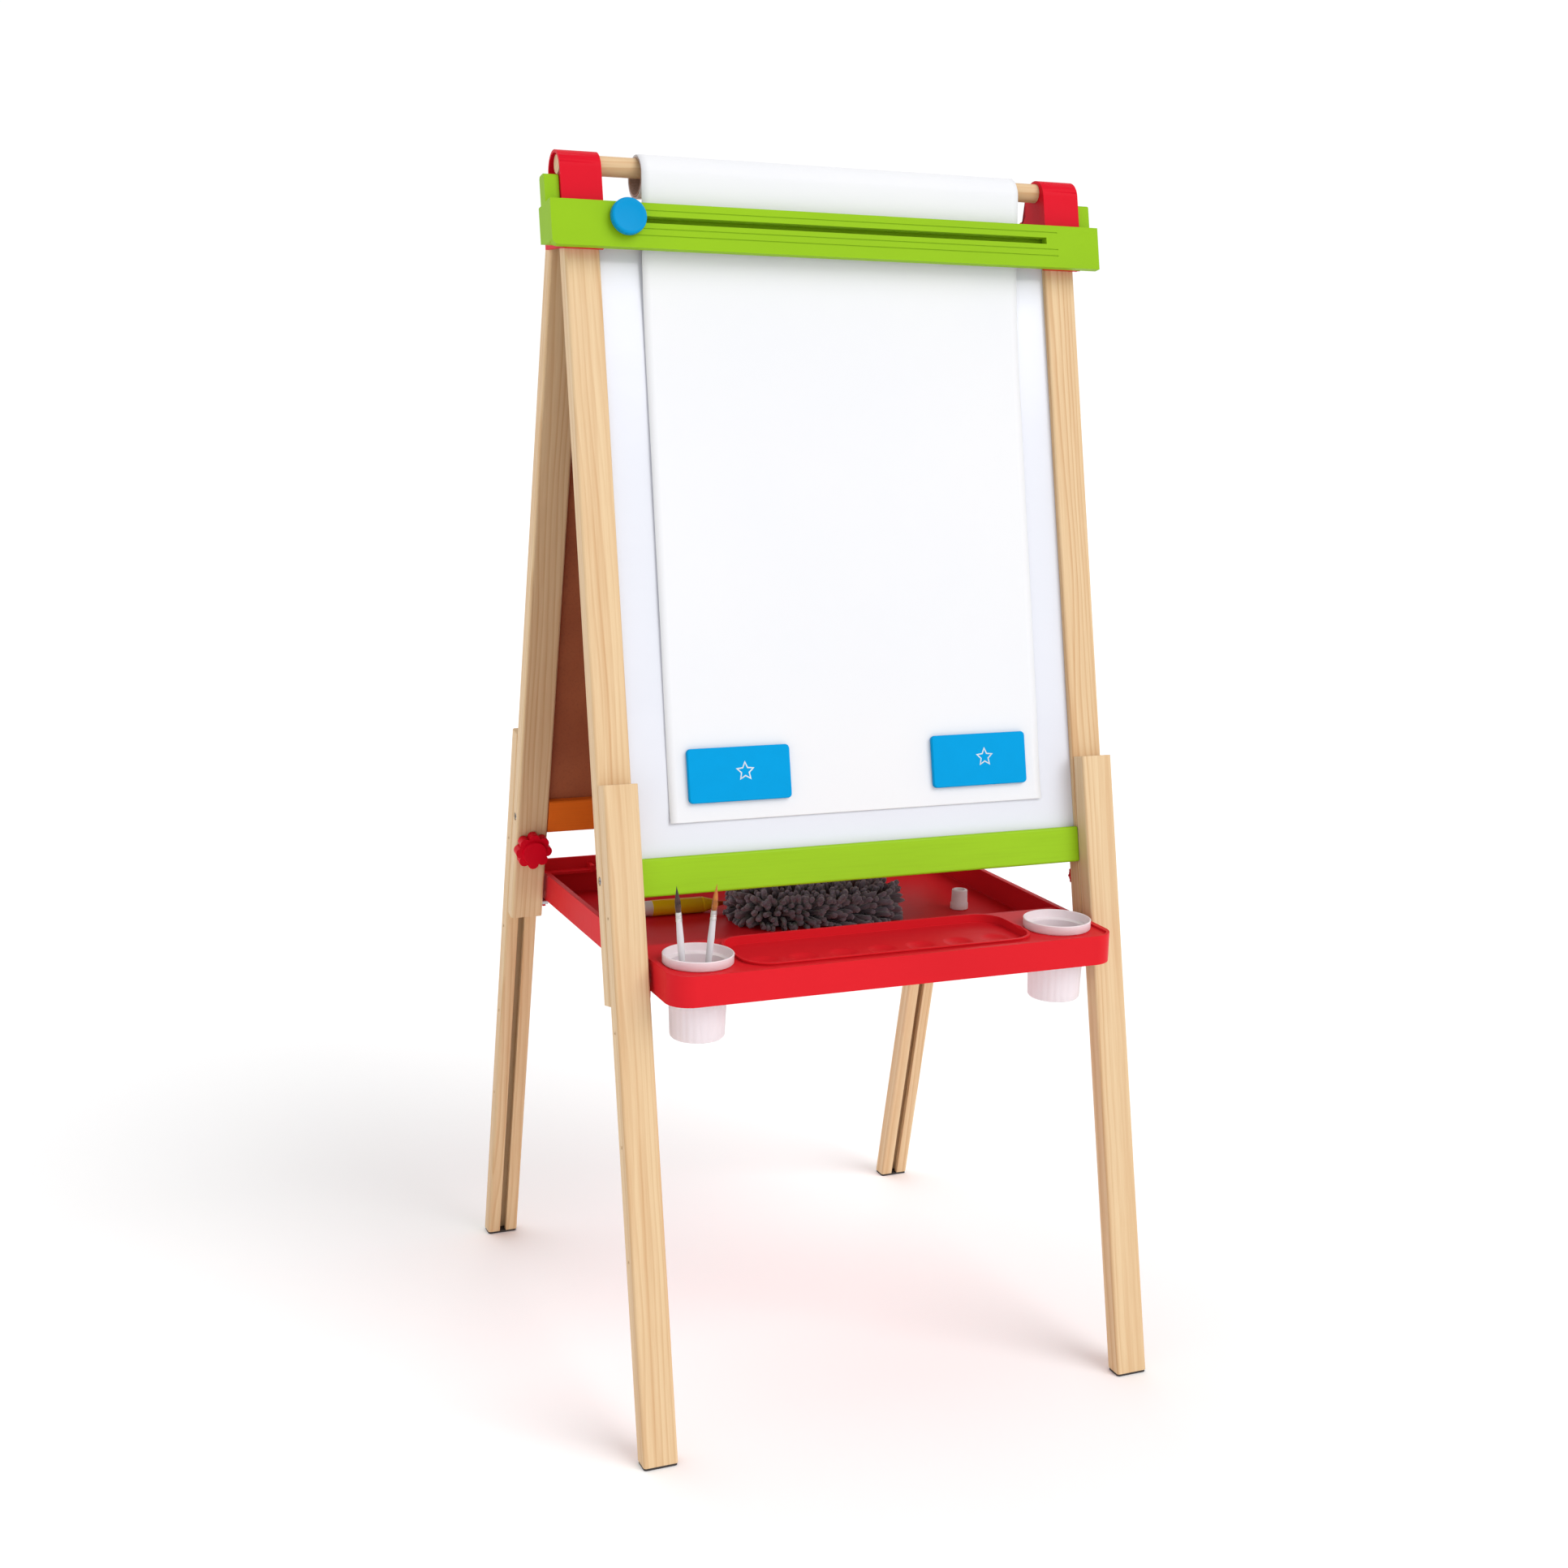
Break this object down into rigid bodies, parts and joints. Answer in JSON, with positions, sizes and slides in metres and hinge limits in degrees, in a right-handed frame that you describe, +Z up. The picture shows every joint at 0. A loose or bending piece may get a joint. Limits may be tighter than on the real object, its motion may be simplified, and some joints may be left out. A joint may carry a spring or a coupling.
{
  "type": "kids easel",
  "caption": "Double-sided standing kids easel with a whiteboard, a chalkboard, a paper roll with a sliding cutter, adjustable legs and a tool tray between hinged frames.",
  "frame": {"origin": "on the floor under the middle of the open easel", "axes": "+X to the right seen from the whiteboard side, -Y out of the whiteboard side, +Z up"},
  "size_m": [0.546, 0.5404, 1.1236],
  "materials": {
    "pine": "clear matt varnish",
    "dowel_wood": "sanded",
    "green_paint": "satin paint",
    "orange_paint": "satin paint",
    "white_steel": "gloss white enamel",
    "hardboard": "smooth hardboard",
    "chalk_panel": "matt chalk paint on the outer face, brown hardboard inside",
    "red_plastic": "satin moulded plastic",
    "tray_plastic": "satin moulded plastic",
    "zinc_steel": "zinc plated",
    "green_plastic": "satin moulded plastic",
    "paper": "uncoated",
    "core_board": "spiral wound board",
    "foot_rubber": "matt",
    "blue_plastic": "satin moulded plastic",
    "slider_plastic": "matt",
    "blade_steel": "ground edge",
    "clear_plastic": "frosted translucent",
    "brush_handle": "gloss",
    "bristle": "soft hair",
    "magnet_blue": "satin flexible magnet",
    "chenille": "chenille",
    "marker_yellow": "gloss"
  },
  "bodies": {
    "front_frame": {"front_leg_left": "pine", "front_leg_right": "pine", "front_top_rail": "pine", "front_lower_rail": "green_paint", "whiteboard_face": "white_steel", "whiteboard_backing": "hardboard", "hinge_bracket_left": "red_plastic", "hinge_bracket_right": "red_plastic", "hinge_bolts": "zinc_steel", "hinge_nuts": "zinc_steel", "bracket_screws": "zinc_steel", "rail_screws": "zinc_steel", "front_frame_screws": "zinc_steel", "front_leg_bolts": "zinc_steel", "front_washers": "zinc_steel", "front_tray_pins": "zinc_steel", "cutter_rail": "green_plastic", "paper_sheet": "paper"},
    "back_frame": {"back_leg_left": "pine", "back_leg_right": "pine", "back_top_rail": "pine", "back_lower_rail": "orange_paint", "chalkboard": "chalk_panel", "back_frame_screws": "zinc_steel", "back_leg_bolts": "zinc_steel", "back_washers": "zinc_steel", "back_tray_pins": "zinc_steel"},
    "leg_front_left": {"lower_leg_front_left": "pine", "foot_pad_front_left": "foot_rubber"},
    "clamp_front_left": {"knob_front_left": "red_plastic"},
    "leg_front_right": {"lower_leg_front_right": "pine", "foot_pad_front_right": "foot_rubber"},
    "clamp_front_right": {"knob_front_right": "red_plastic"},
    "leg_back_left": {"lower_leg_back_left": "pine", "foot_pad_back_left": "foot_rubber"},
    "clamp_back_left": {"knob_back_left": "red_plastic"},
    "leg_back_right": {"lower_leg_back_right": "pine", "foot_pad_back_right": "foot_rubber"},
    "clamp_back_right": {"knob_back_right": "red_plastic"},
    "dowel": {"paper_dowel": "dowel_wood"},
    "roll": {"paper_roll": "paper", "roll_core": "core_board"},
    "cutter": {"cutter_knob": "blue_plastic", "cutter_slider": "slider_plastic", "cutter_blade": "blade_steel"},
    "tool_tray": {"tray": "tray_plastic"},
    "left_cup": {"cup_left": "clear_plastic"},
    "right_cup": {"cup_right": "clear_plastic"},
    "left_brush": {"brush_left_handle": "brush_handle", "brush_left_bristles": "bristle"},
    "right_brush": {"brush_right_handle": "brush_handle", "brush_right_bristles": "bristle"},
    "left_magnet": {"magnet_left": "magnet_blue"},
    "right_magnet": {"magnet_right": "magnet_blue"},
    "board_duster": {"duster": "chenille"},
    "paint_marker": {"marker": "marker_yellow"},
    "tube_stopper": {"stopper": "clear_plastic"}
  },
  "joints": [
    {"name": "frame_fold", "type": "hinge", "parent": "front_frame", "child": "back_frame", "pos_m": [0, 0.01371, 1.07718], "axis": [-1, 0, 0], "range_deg": [0, 22]},
    {"name": "leg_slide_front_left", "type": "slide", "parent": "front_frame", "child": "leg_front_left", "axis": [0, 0.2079, 0.9781], "range_m": [0, 0.3]},
    {"name": "knob_turn_front_left", "type": "hinge", "parent": "front_frame", "child": "clamp_front_left", "pos_m": [-0.24, -0.13506, 0.46299], "axis": [0, -0.9781, 0.2079], "range_deg": [0, 360]},
    {"name": "leg_slide_front_right", "type": "slide", "parent": "front_frame", "child": "leg_front_right", "axis": [0, 0.2079, 0.9781], "range_m": [0, 0.3]},
    {"name": "knob_turn_front_right", "type": "hinge", "parent": "front_frame", "child": "clamp_front_right", "pos_m": [0.24, -0.13506, 0.46299], "axis": [0, -0.9781, 0.2079], "range_deg": [0, 360]},
    {"name": "leg_slide_back_left", "type": "slide", "parent": "back_frame", "child": "leg_back_left", "axis": [0, -0.2079, 0.9781], "range_m": [0, 0.3]},
    {"name": "knob_turn_back_left", "type": "hinge", "parent": "back_frame", "child": "clamp_back_left", "pos_m": [-0.24, 0.13506, 0.46299], "axis": [0, 0.9781, 0.2079], "range_deg": [0, 360]},
    {"name": "leg_slide_back_right", "type": "slide", "parent": "back_frame", "child": "leg_back_right", "axis": [0, -0.2079, 0.9781], "range_m": [0, 0.3]},
    {"name": "knob_turn_back_right", "type": "hinge", "parent": "back_frame", "child": "clamp_back_right", "pos_m": [0.24, 0.13506, 0.46299], "axis": [0, 0.9781, 0.2079], "range_deg": [0, 360]},
    {"name": "dowel_pull", "type": "slide", "parent": "front_frame", "child": "dowel", "axis": [-1, 0, 0], "range_m": [0, 0.478]},
    {"name": "roll_spin", "type": "hinge", "parent": "front_frame", "child": "roll", "pos_m": [0, -0.00899, 1.10439], "axis": [1, 0, 0], "continuous": true},
    {"name": "cutter_slide", "type": "slide", "parent": "front_frame", "child": "cutter", "axis": [1, 0, 0], "range_m": [0, 0.417]},
    {"name": "tray_lift", "type": "slide", "parent": "front_frame", "child": "tool_tray", "axis": [0, 0, 1], "range_m": [0, 0.025]},
    {"name": "cup_lift_left", "type": "slide", "parent": "tool_tray", "child": "left_cup", "axis": [0, 0, 1], "range_m": [0, 0.065]},
    {"name": "cup_lift_right", "type": "slide", "parent": "tool_tray", "child": "right_cup", "axis": [0, 0, 1], "range_m": [0, 0.065]},
    {"name": "brush_pull_left", "type": "slide", "parent": "left_cup", "child": "left_brush", "axis": [-0.0987, -0.0366, 0.9944], "range_m": [0, 0.13]},
    {"name": "brush_pull_right", "type": "slide", "parent": "left_cup", "child": "right_brush", "axis": [0.0855, -0.0297, 0.9959], "range_m": [0, 0.13]},
    {"name": "magnet_pull_left", "type": "slide", "parent": "front_frame", "child": "left_magnet", "axis": [0, -0.9781, 0.2079], "range_m": [0, 0.03]},
    {"name": "magnet_pull_right", "type": "slide", "parent": "front_frame", "child": "right_magnet", "axis": [0, -0.9781, 0.2079], "range_m": [0, 0.03]},
    {"name": "duster_lift", "type": "slide", "parent": "tool_tray", "child": "board_duster", "axis": [0, 0, 1], "range_m": [0, 0.05]},
    {"name": "marker_lift", "type": "slide", "parent": "tool_tray", "child": "paint_marker", "axis": [0, 0, 1], "range_m": [0, 0.05]},
    {"name": "stopper_lift", "type": "slide", "parent": "tool_tray", "child": "tube_stopper", "axis": [0, 0, 1], "range_m": [0, 0.05]}
  ]
}
